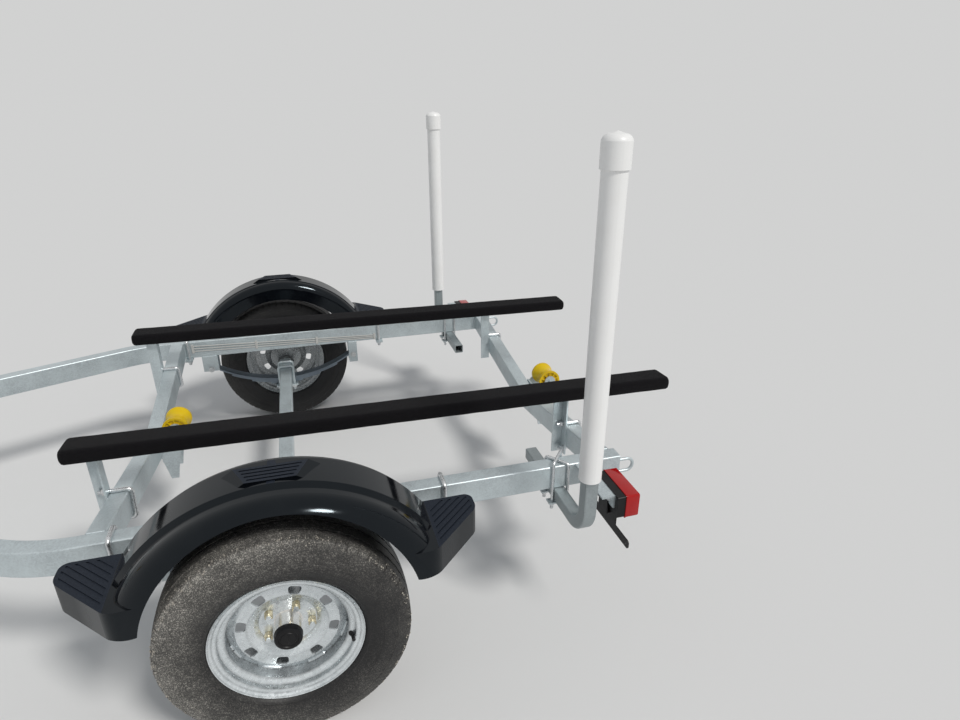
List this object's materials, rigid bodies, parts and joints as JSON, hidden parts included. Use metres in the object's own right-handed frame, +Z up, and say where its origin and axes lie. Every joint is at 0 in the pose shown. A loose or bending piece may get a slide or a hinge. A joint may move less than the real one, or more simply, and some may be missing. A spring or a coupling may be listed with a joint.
{
  "type": "boat trailer",
  "caption": "Single-axle galvanised boat trailer with dipped crossmembers, carpeted bunks, keel rollers, guide posts, stepped fenders, winch post and swing-up jack",
  "frame": {"origin": "on the floor, midway along the whole length, on the centre line", "axes": "+X forward to the coupler, +Y to the trailer's left, +Z up"},
  "size_m": [4.6912, 2, 1.437],
  "materials": {
    "galvanised_steel": "hot-dip galvanised, dull with pale spangle",
    "zinc_plated_steel": "zinc plated, satin",
    "spring_steel": "dark grey paint, matt",
    "black_fender_plastic": "moulded, glossy with textured treads",
    "black_carpet": "short marine carpet pile",
    "yellow_polymer": "moulded polymer, slightly translucent, satin gloss",
    "white_pvc": "smooth white pipe, satin",
    "black_plastic": "moulded, matt",
    "red_lens": "moulded lens, glossy",
    "tyre_rubber": "dusty black rubber",
    "wire_insulation": "smooth pale grey insulation"
  },
  "bodies": {
    "frame": {"side_rail_left": "galvanised_steel", "side_rail_right": "galvanised_steel", "tongue": "galvanised_steel", "tongue_crossmember": "galvanised_steel", "front_crossmember": "galvanised_steel", "rear_crossmember": "galvanised_steel", "axle": "galvanised_steel", "leaf_spring_left": "spring_steel", "leaf_spring_right": "spring_steel", "spring_hangers": "galvanised_steel", "axle_clamps": "galvanised_steel", "fender_left": "black_fender_plastic", "fender_right": "black_fender_plastic", "fender_brackets": "galvanised_steel", "bunk_left": "black_carpet", "bunk_right": "black_carpet", "bunk_brackets_front": "galvanised_steel", "bunk_brackets_rear": "galvanised_steel", "roller_bracket_front": "galvanised_steel", "roller_bracket_rear": "galvanised_steel", "guide_post_left": "galvanised_steel", "guide_post_right": "galvanised_steel", "guide_sleeve_left": "white_pvc", "guide_sleeve_right": "white_pvc", "guide_clamp_plates": "galvanised_steel", "clamping_bolts": "zinc_plated_steel", "lamp_wires": "wire_insulation", "lamp_brackets": "galvanised_steel", "tail_lamp_base_left": "black_plastic", "tail_lamp_base_right": "black_plastic", "tail_lens_left": "red_lens", "tail_lens_right": "red_lens", "plate_bracket": "black_plastic", "tie_down_eyes": "galvanised_steel", "winch_post": "galvanised_steel", "bow_stop": "yellow_polymer", "winch_frame": "zinc_plated_steel", "coupler": "zinc_plated_steel", "coupler_latch": "zinc_plated_steel", "jack_mount": "zinc_plated_steel"},
    "left_wheel": {"wheel_left": "galvanised_steel", "tyre_left": "tyre_rubber", "hub_cap_left": "black_plastic"},
    "right_wheel": {"wheel_right": "galvanised_steel", "tyre_right": "tyre_rubber", "hub_cap_right": "black_plastic"},
    "front_roller": {"keel_roller_front": "yellow_polymer"},
    "rear_roller": {"keel_roller_rear": "yellow_polymer"},
    "drum": {"winch_drum": "zinc_plated_steel"},
    "crank": {"winch_crank": "zinc_plated_steel"},
    "jack": {"jack_tube": "zinc_plated_steel"},
    "jack_inner": {"jack_leg": "galvanised_steel"},
    "caster": {"jack_fork": "galvanised_steel"},
    "caster_wheel": {"jack_wheel": "black_plastic"}
  },
  "joints": [
    {"name": "left_wheel_spin", "type": "hinge", "parent": "frame", "child": "left_wheel", "pos_m": [-1.0545, 0.896, 0.302], "axis": [0, 1, 0], "continuous": true},
    {"name": "right_wheel_spin", "type": "hinge", "parent": "frame", "child": "right_wheel", "pos_m": [-1.0545, -0.896, 0.302], "axis": [0, 1, 0], "continuous": true},
    {"name": "front_roller_spin", "type": "hinge", "parent": "frame", "child": "front_roller", "pos_m": [-0.6989, 0, 0.44], "axis": [0, 1, 0], "continuous": true},
    {"name": "rear_roller_spin", "type": "hinge", "parent": "frame", "child": "rear_roller", "pos_m": [-2.0949, 0, 0.44], "axis": [0, 1, 0], "continuous": true},
    {"name": "drum_spin", "type": "hinge", "parent": "frame", "child": "drum", "pos_m": [1.696, 0, 1.031], "axis": [0, 1, 0], "continuous": true},
    {"name": "crank_spin", "type": "hinge", "parent": "frame", "child": "crank", "pos_m": [1.7545, 0, 1.031], "axis": [0, 1, 0], "continuous": true},
    {"name": "jack_swing", "type": "hinge", "parent": "frame", "child": "jack", "pos_m": [1.9305, 0.0981, 0.46], "axis": [0, 1, 0], "range_deg": [0, 90]},
    {"name": "jack_slide", "type": "slide", "parent": "jack", "child": "jack_inner", "axis": [0, 0, -1], "range_m": [-0.044, 0.19]},
    {"name": "caster_swivel", "type": "hinge", "parent": "jack_inner", "child": "caster", "pos_m": [1.9305, 0.0981, 0.17], "axis": [0, 0, 1], "continuous": true},
    {"name": "caster_wheel_spin", "type": "hinge", "parent": "caster", "child": "caster_wheel", "pos_m": [1.9025, 0.0981, 0.076], "axis": [0, 1, 0], "continuous": true}
  ],
  "couplings": [
    {"joint": "crank_spin", "follows": "drum_spin", "ratio": -4}
  ]
}
